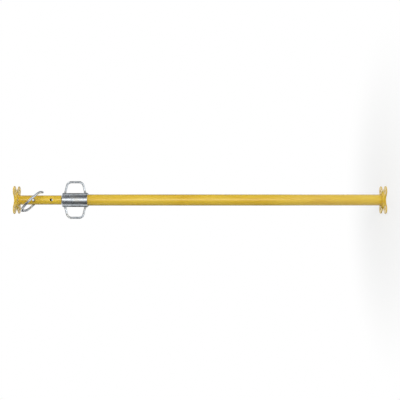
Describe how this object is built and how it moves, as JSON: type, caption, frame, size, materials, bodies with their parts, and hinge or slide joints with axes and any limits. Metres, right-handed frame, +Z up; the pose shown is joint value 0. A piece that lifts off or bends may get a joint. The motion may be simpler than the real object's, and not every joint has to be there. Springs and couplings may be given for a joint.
{
  "type": "adjustable steel prop",
  "caption": "Telescopic steel prop with lobed end plates, a pin-hole inner tube, a covered-thread nut with loop handles and a G-shaped pin.",
  "frame": {"origin": "middle of the nail-hole pattern on the foot's ground face", "axes": "+Z up along the tubes towards the head plate, +X through the right-hand handle, the G pin's leg lies along Y with its tip towards -Y, and is pulled out towards +Y"},
  "size_m": [0.1642, 0.163, 1.6],
  "materials": {
    "yellow_paint": "semi-gloss dipped paint",
    "zinc_plate": "bright zinc plating"
  },
  "bodies": {
    "outer": {"outer_tube": "yellow_paint", "base_plate": "yellow_paint", "base_weld": "yellow_paint"},
    "inner": {"inner_tube": "yellow_paint", "head_plate": "yellow_paint", "head_weld": "yellow_paint"},
    "ring": {"thread_ring": "zinc_plate"},
    "nut": {"nut_sleeve": "zinc_plate", "handle_left": "zinc_plate", "handle_right": "zinc_plate", "handle_left_welds": "zinc_plate", "handle_right_welds": "zinc_plate"},
    "pin": {"g_pin": "zinc_plate"}
  },
  "joints": [
    {"name": "inner_slide", "type": "slide", "parent": "outer", "child": "inner", "axis": [0, 0, 1], "range_m": [0, 1.16]},
    {"name": "nut_rise", "type": "slide", "parent": "outer", "child": "ring", "axis": [0, 0, 1], "range_m": [0, 0.076]},
    {"name": "nut_turn", "type": "hinge", "parent": "ring", "child": "nut", "pos_m": [0, 0, 1.344], "axis": [0, 0, 1], "range_deg": [0, 3420]},
    {"name": "pin_pull", "type": "slide", "parent": "inner", "child": "pin", "axis": [0, 1, 0], "range_m": [0, 0.056]}
  ],
  "couplings": [
    {"joint": "nut_rise", "follows": "nut_turn", "m_per_rad": 0.0012732}
  ]
}
